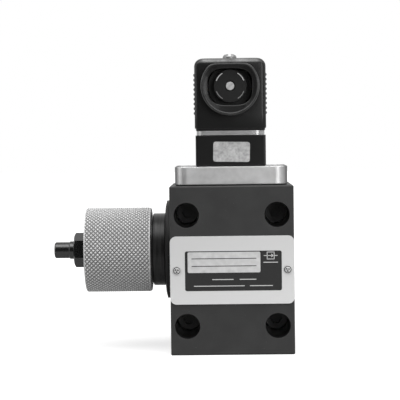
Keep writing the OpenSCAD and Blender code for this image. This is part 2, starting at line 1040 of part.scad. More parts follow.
module plug_skin() {
  intersection() {
    round_plate(plug_w, plug_w, plug_h, plug_side_r);
    rotate([90, 0, 0])
      linear_extrude(plug_w, center = true)
        arched_rect(plug_w, plug_h, plug_top_r);
    rotate([90, 0, 90])
      linear_extrude(plug_w, center = true)
        arched_rect(plug_w, plug_h, plug_edge_r);
  }
}

module plug_ribs() {
  for (sx = [-1, 1], i = [0 : rib_count - 1])
    translate([sx * (plug_w / 2 - rib_r + rib_out), 0, rib_top - plug_z - i * rib_pitch])
      rotate([90, 0, 0])
        cylinder(r = rib_r, h = rib_l, center = true, $fn = 24);
}

// Cable opening: a round bore cut off flat above and below
module cable_opening(d, h, l) {
  intersection() {
    cylinder(d = d, h = l);
    translate([-d, -h / 2, 0])
      cube([2 * d, h, l]);
  }
}

module cable_boss() {
  intersection() {
    cylinder(d = boss_d, h = boss_l + boss_root);
    translate([-boss_d, -boss_d, 0])
      cube([2 * boss_d, boss_d + boss_flat_z - cable_z, boss_l + boss_root]);
  }
}

module plug_housing() {
  face_y = axis_y - plug_w / 2;
  cavity_w = plug_w - 2 * plug_wall;
  color("black")
    difference() {
      union() {
        on_stack(plug_z) {
          plug_skin();
          plug_ribs();
        }
        facing_front(0, face_y + boss_root, cable_z)
          cable_boss();
      }
      on_stack(plug_z)
        difference() {
          translate([-plug_w, -plug_w, -eps])
            cube([2 * plug_w, 2 * plug_w, plug_lip_h + eps]);
          translate([0, 0, -1])
            round_plate(plug_w - 2 * plug_lip_in, plug_w - 2 * plug_lip_in, 3, plug_side_r);
        }
      on_stack(plug_z - eps)
        round_plate(cavity_w, cavity_w, plug_h - plug_roof, 1);
      on_stack(plug_z)
        cylinder(d = m3 + 0.6, h = plug_h + eps);
      on_stack(plug_top - screw_recess_h)
        cylinder(d = screw_recess_d, h = screw_recess_h + eps);
      facing_front(0, face_y + plug_wall + eps, cable_z)
        cable_opening(cable_d, cable_h, plug_wall + boss_l + 2 * eps);
      facing_front(0, boss_y + boss_lip, cable_z)
        cylinder(d1 = cable_d, d2 = cable_d + 2 * boss_lip, h = boss_lip + eps);
    }
}

// Block that carries the plug's contacts
module plug_insert() {
  color("dimgray")
    on_stack(plug_z + 0.2)
      difference() {
        round_plate(insert_w, insert_w, insert_h, 1);
        translate([0, 0, -eps])
          cylinder(d = m3 + 0.8, h = insert_h + 2 * eps);
        at_blades(all_sides)
          translate([-slot_t / 2, -slot_w / 2, -eps])
            cube([slot_t, slot_w, insert_h + 2 * eps]);
      }
}

// Spring receptacle round a blade, closed above, where the wire is clamped
module receptacle() {
  outer_t = contact_gap + 2 * contact_wall;
  grip_h = 9.2;
  translate([-outer_t / 2, -blade_w / 2, 0])
    difference() {
      cube([outer_t, blade_w, insert_h - 0.4]);
      translate([contact_wall, -eps, -eps])
        cube([contact_gap, blade_w + 2 * eps, grip_h + 0.4]);
    }
  translate([-outer_t, -blade_w / 2, insert_h])
    cube([2 * outer_t, blade_w, 1.2]);
  translate([-outer_t / 2, -blade_w / 2, insert_h - 0.5])
    cube([outer_t, blade_w, 0.6]);
}

module plug_contacts() {
  color("gold")
    on_stack(plug_z + 0.2)
      at_blades(all_sides)
        receptacle();
}

module terminal_screws() {
  color("silver")
    on_stack(plug_z + insert_h + 1.4)
      at_blades(all_sides)
        difference() {
          cylinder(d = 2 * terminal_screw_d - 1, h = 1.4);
          translate([0, 0, 1.1])
            cube([0.6, 6, 0.8], center = true);
        }
}

module plug_screw() {
  color("silver")
    on_stack(0)
      difference() {
        union() {
          translate([0, 0, screw_head_z])
            rotate_extrude()
              polygon([
                [0, 0], [screw_head_d / 2, 0], [screw_head_d / 2, screw_head_h - 1.1],
                [screw_head_d / 2 - 0.35, screw_head_h - 0.5],
                [screw_head_d / 2 - 0.9, screw_head_h - 0.15],
                [screw_head_d / 2 - 1.7, screw_head_h], [0, screw_head_h]
              ]);
          translate([0, 0, screw_end_z])
            cylinder(d = m3, h = screw_head_z - screw_end_z + eps);
        }
        translate([0, 0, screw_head_z + screw_head_h])
          cube([screw_slot, 2 * screw_head_d, 2 * screw_slot_depth], center = true);
      }
}

module plug_screw_seal() {
  seat_z = plug_top - screw_recess_h;
  color("black")
    on_stack(seat_z)
      o_ring(screw_head_d - 0.1, screw_ring_wire - 0.05);
}

module cable_seal() {
  color("black")
    facing_front(0, seal_end_y, cable_z)
      difference() {
        cable_opening(cable_d - 0.2, cable_h - 0.2, seal_end_y - seal_y);
        translate([0, 0, -eps])
          cylinder(d = disc_screw_shank + 2 * still, h = seal_end_y - seal_y + 2 * eps);
      }
}

module thrust_washer() {
  color("silver")
    facing_front(0, seal_y, cable_z)
      tube(disc_d + 0.6, disc_screw_shank + 2 * still, washer_t);
}

// Blanking disc with four short raised arcs round its screw
module blanking_disc() {
  color("black")
    facing_front(0, washer_y, cable_z)
      difference() {
        union() {
          cylinder(d = disc_d, h = disc_l);
          for (side = [0, 180], lean = [40, -40])
            rotate([0, 0, side + lean - ridge_span])
              rotate_extrude(angle = 2 * ridge_span)
                translate([ridge_r - ridge_w / 2, disc_l - eps])
                  square([ridge_w, ridge_out]);
        }
        translate([0, 0, disc_l - disc_recess_depth])
          cylinder(d = disc_recess_d, h = disc_recess_depth + eps);
        translate([0, 0, -eps])
          cylinder(d = disc_screw_shank + 2 * still, h = disc_l);
      }
}

module blanking_screw() {
  head_h = disc_recess_depth + 0.1;
  shank_l = seal_end_y - disc_y - disc_recess_depth + 0.3;
  color("silver")
    facing_front(0, disc_y + disc_recess_depth, cable_z)
      difference() {
        cap_screw(disc_screw_shank, shank_l, disc_screw_d, head_h);
        translate([0, 0, head_h])
          rotate([0, 0, 40])
            cube([disc_screw_d + 1, 0.6, 0.8], center = true);
      }
}

valve_body();
mounting_screws();
port_o_rings();
nameplate();
nameplate_rivets();
flange_ring();
guide_bush();
bush_o_ring();
knob();
spindle();
nut_washer();
lock_nut();
thrust_ball();
spring_seat();
main_spring();
spring_plate();
piston();
piston_seal();
piston_cartridge();
cartridge_o_ring();
switch_case();
switch_lid();
switch_button();
switch_terminals();
switch_screws();
lead_wires();
cover_gasket();
cover_plate();
cover_screws();
base_gasket();
connector_base();
base_screws();
base_label();
contact_blades();
earth_blade();
threaded_insert();
plug_gasket();
plug_housing();
plug_insert();
plug_contacts();
terminal_screws();
plug_screw();
plug_screw_seal();
cable_seal();
thrust_washer();
blanking_disc();
blanking_screw();
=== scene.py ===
"""Looks of a valve block with a knurled setting knob and a plug connector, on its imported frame."""
import math

import bpy
import bmesh
from mathutils import Matrix, Vector


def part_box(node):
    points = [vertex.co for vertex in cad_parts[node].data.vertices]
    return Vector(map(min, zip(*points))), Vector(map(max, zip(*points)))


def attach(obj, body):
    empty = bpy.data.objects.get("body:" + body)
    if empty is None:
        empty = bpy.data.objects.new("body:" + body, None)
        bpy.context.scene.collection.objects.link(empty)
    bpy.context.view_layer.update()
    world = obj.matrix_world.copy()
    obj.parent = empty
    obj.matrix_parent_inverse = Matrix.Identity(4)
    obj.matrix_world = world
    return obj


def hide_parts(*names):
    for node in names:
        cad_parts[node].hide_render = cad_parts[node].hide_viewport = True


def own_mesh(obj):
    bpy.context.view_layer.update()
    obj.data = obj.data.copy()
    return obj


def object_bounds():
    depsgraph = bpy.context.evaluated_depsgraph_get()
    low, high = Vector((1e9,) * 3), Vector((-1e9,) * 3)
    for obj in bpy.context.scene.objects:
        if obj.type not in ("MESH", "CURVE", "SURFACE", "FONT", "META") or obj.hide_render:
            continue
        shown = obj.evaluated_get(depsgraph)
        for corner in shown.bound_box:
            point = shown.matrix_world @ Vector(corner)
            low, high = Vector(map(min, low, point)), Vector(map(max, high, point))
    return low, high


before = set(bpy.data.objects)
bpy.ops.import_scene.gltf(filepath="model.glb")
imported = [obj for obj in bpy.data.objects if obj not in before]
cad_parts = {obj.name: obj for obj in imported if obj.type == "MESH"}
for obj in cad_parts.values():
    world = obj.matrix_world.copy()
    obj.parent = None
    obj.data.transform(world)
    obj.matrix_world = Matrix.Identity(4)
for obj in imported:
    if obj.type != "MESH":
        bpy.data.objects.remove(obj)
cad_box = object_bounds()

MM = 0.001
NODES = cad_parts


# ---- Camera and lamps ----

CAMERA_PLACE = (-2.28, -616.1, 51.55)
CAMERA_TURN = (-0.984, 2.414, -0.713)
CAMERA_LENS, CAMERA_SENSOR = 133.8, 36


def make_camera():
    """Long lens, a little above the block's top, leaning slightly down."""
    yaw, pitch, roll = (math.radians(angle) for angle in CAMERA_TURN)
    ahead = Vector((math.sin(yaw) * math.cos(pitch), math.cos(yaw) * math.cos(pitch),
                    -math.sin(pitch)))
    level = Vector((math.cos(yaw), -math.sin(yaw), 0))
    above = level.cross(ahead)
    right = level * math.cos(roll) + above * math.sin(roll)
    up = right.cross(ahead)
    camera = bpy.data.objects.new("camera", bpy.data.cameras.new("camera"))
    camera.data.lens = CAMERA_LENS
    camera.data.sensor_width = CAMERA_SENSOR
    camera.data.clip_start = 0.01
    camera.data.clip_end = 20
    turn = Matrix((right, up, -ahead)).transposed().to_4x4()
    camera.matrix_world = Matrix.Translation(Vector(CAMERA_PLACE) * MM) @ turn
    bpy.context.scene.collection.objects.link(camera)
    bpy.context.scene.camera = camera


def softbox(name, place, aim, size, watts, mirrored=True):
    lamp = bpy.data.lights.new(name, "AREA")
    lamp.shape = "RECTANGLE"
    lamp.size, lamp.size_y = size
    lamp.energy = watts
    holder = bpy.data.objects.new(name, lamp)
    holder.location = place
    holder.rotation_euler = (Vector(aim) - Vector(place)).to_track_quat("-Z", "Y").to_euler()
    holder.visible_glossy = mirrored
    bpy.context.scene.collection.objects.link(holder)


# ---- Colours and node trees ----

def grey(value):
    """Linear grey of an sRGB level from 0 to 255."""
    part = value / 255
    linear = part / 12.92 if part <= 0.04045 else ((part + 0.055) / 1.055) ** 2.4
    return (linear, linear, linear, 1)


def tint(red, green, blue):
    return (grey(red)[0], grey(green)[0], grey(blue)[0], 1)


class Shade:
    """One material, built up node by node."""

    def __init__(self, name, **sockets):
        self.mat = bpy.data.materials.new(name)
        self.mat.use_nodes = True
        self.nodes = self.mat.node_tree.nodes
        self.links = self.mat.node_tree.links
        self.nodes.clear()
        self.bsdf = self.add("ShaderNodeBsdfPrincipled", **sockets)
        out = self.add("ShaderNodeOutputMaterial")
        self.links.new(self.bsdf.outputs[0], out.inputs["Surface"])
        self.place = self.add("ShaderNodeTexCoord").outputs["Object"]

    def add(self, kind, **sockets):
        node = self.nodes.new(kind)
        for name, value in sockets.items():
            self.put(node, name.replace("_", " "), value)
        return node

    def put(self, node, socket, value):
        if isinstance(value, bpy.types.NodeSocket):
            self.links.new(value, node.inputs[socket])
        else:
            node.inputs[socket].default_value = value

    def set(self, **sockets):
        for name, value in sockets.items():
            self.put(self.bsdf, name.replace("_", " "), value)

    def stretched(self, stretch):
        node = self.add("ShaderNodeMapping", Vector=self.place)
        node.inputs["Scale"].default_value = stretch
        return node.outputs[0]

    def noise(self, size, detail=3, stretch=(1, 1, 1), rough=0.55):
        """Noise whose features are about size millimetres across."""
        node = self.add("ShaderNodeTexNoise", Vector=self.stretched(stretch), Scale=1 / (size * MM),
                        Detail=detail, Roughness=rough)
        return node.outputs["Fac"]

    def fit(self, value, low, high, start=0.0, end=1.0):
        """Maps start..end of a value to low..high."""
        node = self.add("ShaderNodeMapRange", Value=value)
        for name, number in (("From Min", start), ("From Max", end), ("To Min", low),
                             ("To Max", high)):
            node.inputs[name].default_value = number
        return node.outputs[0]

    def blend(self, amount, first, second):
        """A colour that goes from the first to the second as amount goes from 0 to 1."""
        node = self.nodes.new("ShaderNodeMix")
        node.data_type = "RGBA"
        self.put(node, 0, amount)
        self.put(node, 6, first)
        self.put(node, 7, second)
        return node.outputs[2]

    def calc(self, kind, first, second=0.0):
        node = self.nodes.new("ShaderNodeMath")
        node.operation = kind
        self.put(node, 0, first)
        self.put(node, 1, second)
        return node.outputs[0]

    def axis(self, letter):
        return self.add("ShaderNodeSeparateXYZ", Vector=self.place).outputs[letter]

    def ramp(self, letter, start, end):
        """0 to 1 from start to end, two places on one axis in millimetres."""
        return self.fit(self.axis(letter), 0, 1, start * MM, end * MM)

    def off(self, letter, place):
        """Distance from a place on one axis, with its sign."""
        return self.calc("SUBTRACT", self.axis(letter), place * MM)

    def distance(self, across, upward):
        squares = [self.calc("POWER", value, 2) for value in (across, upward)]
        return self.calc("SQRT", self.calc("ADD", *squares))

    def round_edges(self, radius):
        node = self.nodes.new("ShaderNodeBevel")
        node.samples = 6
        node.inputs["Radius"].default_value = radius * MM
        return node.outputs[0]

    def relief(self, height, depth, edge=None):
        """Bump of the given depth in millimetres, over rounded edges if edge is their normal."""
        node = self.add("ShaderNodeBump", Height=height, Distance=depth * MM, Strength=1.0)
        if edge is not None:
            self.put(node, "Normal", edge)
        self.set(Normal=node.outputs[0])


def dress(shade, *names):
    for name in names:
        slots = NODES[name].material_slots
        if not slots:
            NODES[name].data.materials.append(shade.mat)
        for slot in slots:
            slot.material = shade.mat


# ---- Materials ----

# Mounting-screw wells: inside them the body's colour is painted light, dark near the mouth and
# lighter deeper in, to even out their shade.
WELL_PLACE, WELL_R = (17.5, 21.5), 4.85
WELL_END, WELL_PAINTED_LIGHT = -14.5, (-35, -16)


def body_steel():
    s = Shade("body_steel_look", Metallic=0.1, Roughness=0.55, Specular_IOR_Level=0.3)
    wide = s.noise(9, 4)
    fine = s.noise(0.35, 3)
    base = s.blend(s.fit(wide, 0, 1, 0.35, 0.65), grey(43), grey(48))
    speck = s.fit(s.noise(0.5, 2), 0, 1, 0.735, 0.78)
    base = s.blend(speck, base, grey(140))
    well = [s.calc("SUBTRACT", s.calc("ABSOLUTE", s.axis(letter)), place * MM)
            for letter, place in zip("XZ", WELL_PLACE)]
    well = s.fit(s.distance(*well), 1, 0, (WELL_R - 0.05) * MM, (WELL_R + 0.05) * MM)
    well = s.calc("MULTIPLY", well, s.ramp("Y", WELL_END, WELL_END - 0.1))
    # Painted light in the wells: grey(17) near the mouth, rising to grey(196) deep inside.
    painted_well_light = s.blend(s.ramp("Y", *WELL_PAINTED_LIGHT), grey(17), grey(196))
    s.set(Base_Color=s.blend(well, base, painted_well_light), Roughness=s.fit(fine, 0.44, 0.58))
    s.relief(s.calc("ADD", fine, s.calc("MULTIPLY", wide, 0.5)), 0.012, s.round_edges(0.35))
    return s


def black_steel(name, rough):
    s = Shade(name, Metallic=0.6, Roughness=rough, Specular_IOR_Level=0.3)
    along = s.fit(s.noise(0.55, 3, (1, 0.05, 0.05)), 0, 1, 0.25, 0.75)
    fine = s.noise(0.12, 2)
    s.set(Base_Color=s.blend(along, grey(24), grey(48)),
          Roughness=s.fit(fine, rough - 0.08, rough + 0.06))
    s.relief(along, 0.012, s.round_edges(0.2))
    return s


def turned_black():
    """Blackened stem and nut, turned smooth, so that they show sharp streaks of light."""
    s = Shade("turned_black_look", Metallic=0.95, Roughness=0.24, Specular_IOR_Level=0.3)
    fine = s.noise(0.3, 3, (1, 0.2, 0.2))
    s.set(Base_Color=s.blend(fine, grey(62), grey(80)), Roughness=s.fit(fine, 0.18, 0.32))
    s.relief(fine, 0.006, s.round_edges(0.25))
    return s


def screw_black():
    s = Shade("screw_black_look", Metallic=0.3, Roughness=0.55)
    shank = s.ramp("Y", WELL_END - 0.1, WELL_END)
    # The heads, deep in the wells, are painted lighter (grey 92 to 110) than the shank: painted
    # light against the wells' shade.
    s.set(Base_Color=s.blend(shank, s.blend(s.noise(0.4), grey(92), grey(110)), grey(48)))
    s.relief(s.noise(0.15), 0.008, s.round_edges(0.2))
    return s


def bright_steel():
    s = Shade("bright_steel_look", Metallic=1.0, Roughness=0.28)
    fine = s.noise(0.15, 3)
    s.set(Base_Color=s.blend(s.noise(1.5), grey(196), grey(218)),
          Roughness=s.fit(fine, 0.2, 0.38))
    s.relief(fine, 0.006, s.round_edges(0.12))
    return s


def screw_steel(name, low, high):
    """Plated slotted screws: half dull, so that they keep their grey."""
    s = Shade(name, Metallic=0.6, Roughness=0.4)
    fine = s.noise(0.3, 3)
    s.set(Base_Color=s.blend(fine, low, high), Roughness=s.fit(fine, 0.32, 0.5))
    s.relief(fine, 0.008, s.round_edges(0.1))
    return s


def plain_steel():
    s = Shade("plain_steel_look", Metallic=1.0, Roughness=0.35)
    turned = s.noise(0.2, 3, (1, 0.1, 0.1))
    s.set(Base_Color=s.blend(turned, grey(150), grey(178)), Roughness=s.fit(turned, 0.28, 0.42))
    s.relief(turned, 0.006, s.round_edges(0.15))
    return s


def spring_steel():
    s = Shade("spring_steel_look", Metallic=1.0, Roughness=0.32)
    mottle = s.noise(0.8, 4)
    s.set(Base_Color=s.blend(mottle, tint(92, 90, 88), tint(140, 136, 130)),
          Roughness=s.fit(mottle, 0.25, 0.42))
    s.relief(s.noise(0.1), 0.004)
    return s


def knob_aluminium():
    s = Shade("knob_aluminium_look", Metallic=0.65, Roughness=0.33)
    fine = s.noise(0.16, 3)
    radius = s.distance(s.off("Y", AXIS_Y), s.off("Z", AXIS_Z))
    face = s.fit(radius, 1, 0, KNOB_FACE_R * MM, (KNOB_FACE_R + 0.1) * MM)
    crest = s.fit(radius, 0, 1, (KNOB_R - KNURL_DEPTH) * MM, (KNOB_R - 0.05) * MM)
    crest = s.calc("MAXIMUM", crest, face)
    ends = s.calc("ABSOLUTE", s.off("X", (KNURL_LEFT + KNURL_RIGHT) / 2))
    half = (KNURL_RIGHT - KNURL_LEFT) / 2
    crest = s.calc("MAXIMUM", crest, s.fit(ends, 0, 1, half * MM, (half + 0.08) * MM))
    turned = s.calc("SINE", s.calc("MULTIPLY", radius, math.tau / (TURNED_PITCH * MM)))
    turned = s.calc("MULTIPLY", turned, s.calc("MULTIPLY", face, 0.35))
    # Painted shade in the knurl's valleys: grey(110) there, the full colour on crests, end faces and
    # plain ends.
    s.set(Base_Color=s.blend(crest, grey(110), s.blend(s.noise(3), grey(193), grey(207))),
          Roughness=s.fit(fine, 0.5, 0.64))
    s.relief(s.calc("ADD", fine, turned), 0.01)
    return s


def plate_aluminium():
    s = Shade("plate_aluminium_look", Metallic=0.85, Roughness=0.42,
              Specular_Tint=(0.35, 0.35, 0.35, 1))
    brushed = s.noise(0.12, 4, (1, 1, 0.03))
    half = extent("cover_plate")[1].x
    # Painted shade on the plate's rounded ends: grey(136) there.
    side = s.fit(s.calc("ABSOLUTE", s.axis("X")), 0, 1, (half - 2.25) * MM, (half - 0.65) * MM)
    cast = s.blend(s.fit(s.noise(7, 3), 0, 1, 0.35, 0.65), grey(195), grey(216))
    s.set(Base_Color=s.blend(side, cast, grey(136)), Roughness=s.fit(brushed, 0.36, 0.48))
    s.relief(brushed, 0.008, s.round_edges(0.45))
    return s


def nameplate_aluminium():
    s = Shade("nameplate_look", Metallic=0.4, Roughness=0.42)
    grain = s.noise(0.1, 3, (0.15, 1, 1))
    # Painted light: darker at the top, lighter towards the bottom.
    height = s.ramp("Z", PLATE_HIGH.z - 0.4, PLATE_LOW.z + 1.9)
    s.set(Base_Color=s.blend(height, grey(204), grey(211)), Roughness=s.fit(grain, 0.36, 0.46))
    s.relief(grain, 0.005, s.round_edges(0.12))
    return s


def field_aluminium():
    s = Shade("field_look", Metallic=0.4, Roughness=0.45)
    mottle = s.noise(2.2, 4)
    s.set(Base_Color=s.blend(s.fit(mottle, 0, 1, 0.3, 0.7), grey(186), grey(204)),
          Roughness=s.fit(mottle, 0.38, 0.52))
    s.relief(mottle, 0.02)
    return s


def print_ink(name, low, high):
    s = Shade(name, Roughness=0.5, Specular_IOR_Level=0.3)
    fine = s.noise(0.2, 3)
    s.set(Base_Color=s.blend(s.fit(fine, 0, 1, 0.3, 0.7), low, high),
          Roughness=s.fit(fine, 0.42, 0.58))
    s.relief(fine, 0.003)
    return s


def rivet_steel():
    """Rivet head with painted shade in the joint round it and in the hollows of its pattern."""
    s = Shade("rivet_steel_look", Metallic=0.5, Roughness=0.4)
    proud = s.ramp("Y", PLATE_LOW.y - 0.22, PLATE_LOW.y - 0.32)
    # Painted shade: grey(58) on all that lies within 0.22 mm of the plate.
    s.set(Base_Color=s.blend(proud, grey(58), grey(204)),
          Roughness=s.fit(s.noise(0.2), 0.32, 0.48))
    s.relief(s.noise(0.15), 0.004)
    return s


def brass(name, low, high):
    s = Shade(name, Metallic=1.0, Roughness=0.3)
    fine = s.noise(0.2, 3)
    s.set(Base_Color=s.blend(s.noise(2), low, high), Roughness=s.fit(fine, 0.22, 0.4))
    s.relief(fine, 0.005, s.round_edges(0.1))
    return s


def rubber(name, low, high, gloss=0.3):
    s = Shade(name, Roughness=0.6, Specular_IOR_Level=gloss)
    fine = s.noise(0.12, 3)
    s.set(Base_Color=s.blend(s.noise(1.8, 3), low, high), Roughness=s.fit(fine, 0.5, 0.7))
    s.relief(fine, 0.01, s.round_edges(0.12))
    return s


def gasket_rubber():
    """Soft grey gasket, glossy where it bulges out between base and plug."""
    s = Shade("gasket_rubber_look", Metallic=0.5, Roughness=0.24)
    lines = s.noise(0.35, 4, (0.25, 0.25, 2))
    s.set(Base_Color=s.blend(s.fit(lines, 0, 1, 0.3, 0.7), grey(166), grey(192)),
          Roughness=s.fit(lines, 0.18, 0.3))
    s.relief(lines, 0.003)
    return s


def moulded(name, low, high, rough=0.32, edge=0.25):
    """Moulded plastic with a fine eroded grain."""
    s = Shade(name, Roughness=rough, Specular_IOR_Level=0.3)
    grain = s.noise(0.11, 4)
    s.set(Base_Color=s.blend(s.noise(5, 3), low, high),
          Roughness=s.fit(grain, rough - 0.06, rough + 0.08))
    s.relief(grain, 0.004, s.round_edges(edge))
    return s


def plug_plastic():
    """Plug housing with painted highlights on two rims of the cable boss and along the top's front
    edge.
    """
    s = moulded("plug_plastic_look", grey(18), grey(23))
    radius = s.distance(s.axis("X"), s.off("Z", CABLE_Z))
    rims = [s.calc("ABSOLUTE", s.calc("SUBTRACT", radius, (BOSS_R - inset) * MM))
            for inset in (0.2, 0.8)]
    near = s.fit(s.calc("MINIMUM", *rims), 1, 0, 0.1 * MM, 0.3 * MM)
    front = s.ramp("Y", PLUG_LOW.y + 0.6, PLUG_LOW.y + 0.3)
    top = s.ramp("Z", PLUG_HIGH.z - 1.9, PLUG_HIGH.z - 0.9)
    edge = s.ramp("Y", PLUG_FACE + 2.2, PLUG_FACE + 0.4)
    patchy = s.fit(s.noise(4), 0.3, 1, 0.3, 0.7)
    # Painted highlights: grey(66) on the boss rims, grey(136) along the top's front edge, fading
    # towards its corners.
    rim = s.calc("MULTIPLY", s.calc("MULTIPLY", near, front), patchy)
    middle = s.fit(s.calc("ABSOLUTE", s.axis("X")), 1, 0, (PLUG_HALF - 3.6) * MM,
                   (PLUG_HALF - 1.8) * MM)
    top_edge_painted_highlight = s.calc("MULTIPLY", s.calc("MULTIPLY", top, edge), s.calc("MULTIPLY", patchy, middle))
    plain = s.blend(s.noise(5, 3), grey(18), grey(23))
    s.set(Base_Color=s.blend(top_edge_painted_highlight, s.blend(rim, plain, grey(66)), grey(136)))
    return s


def disc_plastic():
    """The blanking disc, with painted highlights on the crests of its four arcs, brighter on the
    upper arcs, and painted shade round its screw.
    """
    s = Shade("disc_plastic_look", Roughness=0.4, Specular_IOR_Level=0.3)
    radius = s.distance(s.axis("X"), s.off("Z", CABLE_Z))
    inside = s.fit(radius, 1, 0, DISC_RECESS_R * MM, (DISC_RECESS_R + 0.2) * MM)
    crest = s.ramp("Y", DISC_LOW.y + 0.15, DISC_LOW.y + 0.09)
    upper_arcs_painted_brighter = s.blend(s.ramp("Z", CABLE_Z - 0.8, CABLE_Z + 0.8), grey(104), grey(172))
    # Painted shade, grey(4), in the recess round the screw.
    plain = s.blend(inside, s.blend(s.noise(3), grey(17), grey(23)), grey(4))
    s.set(Base_Color=s.blend(crest, plain, upper_arcs_painted_brighter))
    s.relief(s.noise(0.15), 0.005, s.round_edges(0.1))
    return s


def label_foil():
    s = Shade("label_foil_look", Metallic=0.3, Roughness=0.42)
    mottle = s.noise(0.9, 6)
    cloudy = s.calc("ADD", s.calc("MULTIPLY", mottle, 0.55),
                    s.calc("MULTIPLY", s.noise(4, 2), 0.45))
    s.set(Base_Color=s.blend(s.fit(cloudy, 0, 1, 0.36, 0.62), grey(142), grey(184)),
          Roughness=s.fit(mottle, 0.36, 0.52))
    s.relief(mottle, 0.02, s.round_edges(0.05))
    return s


WIRE_GAPS = (-24.5, -19.3)


def wire_sleeve():
    """PVC sleeve, one colour for each of the three wires, told apart by where they run."""
    s = Shade("wire_sleeve_look", Roughness=0.35)
    red, blue, yellow = tint(150, 38, 32), tint(34, 62, 140), tint(176, 150, 40)
    second, third = (s.ramp("Y", place, place + 0.1) for place in WIRE_GAPS)
    s.set(Base_Color=s.blend(third, s.blend(second, red, blue), yellow))
    s.relief(s.noise(0.2), 0.006)
    return s


def dress_frame():
    dress(body_steel(), "valve_body")
    # The thrust washer, bright steel by its slot, wears black steel here: painted shade in the cable
    # opening.
    dress(black_steel("black_steel_look", 0.34), "guide_bush", "thrust_washer")
    dress(black_steel("flange_black_look", 0.52), "flange_ring")
    dress(turned_black(), "spindle", "nut_washer", "lock_nut")
    dress(screw_black(), "mounting_screws")
    dress(bright_steel(), "thrust_ball", "piston", "switch_screws",
          "cover_screws", "base_screws", "terminal_screws")
    dress(screw_steel("screw_dull_look", grey(112), grey(140)), "plug_screw")
    # The blanking screw's colour is partly its plating and partly a painted highlight, lighter than
    # the plug screw's same plating.
    dress(screw_steel("screw_plating_and_painted_highlight_look", grey(150), grey(214)), "blanking_screw")
    dress(plain_steel(), "spring_seat", "spring_plate", "piston_cartridge")
    dress(plate_aluminium(), "cover_plate")
    dress(nameplate_aluminium(), "nameplate")
    dress(brass("tinned_brass_look", grey(186), grey(206)), "contact_blades", "earth_blade")
    dress(brass("brass_contact_look", tint(196, 166, 96), tint(214, 186, 118)),
          "switch_terminals", "threaded_insert", "plug_contacts")
    dress(rubber("rubber_black_look", grey(26), grey(38)), "port_o_rings", "bush_o_ring",
          "cartridge_o_ring", "cover_gasket", "base_gasket", "plug_screw_seal", "cable_seal")
    dress(rubber("seal_ptfe_look", tint(96, 140, 124), tint(112, 154, 138)), "piston_seal")
    dress(moulded("base_plastic_look", grey(15), grey(20), 0.3, 0.8), "connector_base")
    dress(moulded("insert_plastic_look", grey(28), grey(34), 0.4), "plug_insert")
    dress(disc_plastic(), "blanking_disc")
    dress(moulded("switch_plastic_look", tint(44, 46, 52), tint(54, 56, 62), 0.35),
          "switch_case", "switch_lid")
    dress(moulded("button_plastic_look", tint(172, 36, 30), tint(186, 44, 38), 0.3),
          "switch_button")
    dress(label_foil(), "base_label")
    dress(wire_sleeve(), "lead_wires")


# ---- Mesh helpers: points in millimetres ----

def solid(name, points, faces):
    """An object with its faces turned outwards."""
    mesh = bpy.data.meshes.new(name)
    mesh.from_pydata([Vector(point) * MM for point in points], [], faces)
    form = bmesh.new()
    form.from_mesh(mesh)
    bmesh.ops.recalc_face_normals(form, faces=form.faces)
    form.to_mesh(mesh)
    form.free()
    thing = bpy.data.objects.new(name, mesh)
    bpy.context.scene.collection.objects.link(thing)
    return thing


def soften(thing, crease):
    """Smooth shading that keeps the edges sharper than the crease angle."""
    thing.data.shade_smooth()
    thing.data.set_sharp_from_angle(angle=math.radians(crease))


def piece(name, points, faces, body, slot, shade, nodes=(), crease=35):
    """A finished piece that rides on a body and stands for the nodes named."""
    thing = solid(name, points, faces)
    thing.data.materials.append(shade.mat)
    soften(thing, crease)
    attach(thing, body)
    if nodes:
        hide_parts(*nodes)
    return thing


def loft(rings, closed=False):
    """Points and faces of a skin through rings of equal length."""
    count = len(rings[0])
    points = [point for ring in rings for point in ring]
    faces = []
    for row in range(len(rings) if closed else len(rings) - 1):
        here, there = row * count, (row + 1) % len(rings) * count
        faces += [(here + i, here + (i + 1) % count, there + (i + 1) % count, there + i)
                  for i in range(count)]
    if not closed:
        faces.append(tuple(range(count)))
        faces.append(tuple(len(points) - count + i for i in range(count)))
    return points, faces


def strip(one, other):
    """Faces between two rings of point numbers."""
    return [(one[i], one[(i + 1) % len(one)], other[(i + 1) % len(one)], other[i])
            for i in range(len(one))]


def extent(node):
    """Lowest and highest corner of a CAD node in millimetres."""
    return tuple(Vector(corner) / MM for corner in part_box(node))


def join(thing, form, how):
    """Applies an exact boolean with a form of (points, faces)."""
    other = solid("tool", *form)
    step = thing.modifiers.new("join", "BOOLEAN")
    step.operation = how
    step.solver = "EXACT"
    step.object = other
    result = bpy.data.meshes.new_from_object(
        thing.evaluated_get(bpy.context.evaluated_depsgraph_get()))
    thing.modifiers.clear()
    thing.data = result
    bpy.data.objects.remove(other)


def arc(radius, start, end, steps, centre=(0, 0)):
    return [(centre[0] + radius * math.cos(start + (end - start) * i / steps),
             centre[1] + radius * math.sin(start + (end - start) * i / steps))
            for i in range(steps + 1)]


def round_rect(half_w, half_d, radius, steps=6):
    corners = [(half_w - radius, half_d - radius, 0), (radius - half_w, half_d - radius, 90),
               (radius - half_w, radius - half_d, 180), (half_w - radius, radius - half_d, 270)]
    outline = []
    for x, y, turn in corners:
        outline += arc(radius, math.radians(turn), math.radians(turn + 90), steps, (x, y))
    return outline


def turned(profile, count, place):
    """Rings of a profile of (radius, along) points, set out by place(radius, angle, along)."""
    return [[place(radius, math.tau * i / count, along) for i in range(count)]
            for radius, along in profile]


# ---- Knob with a diamond knurl ----

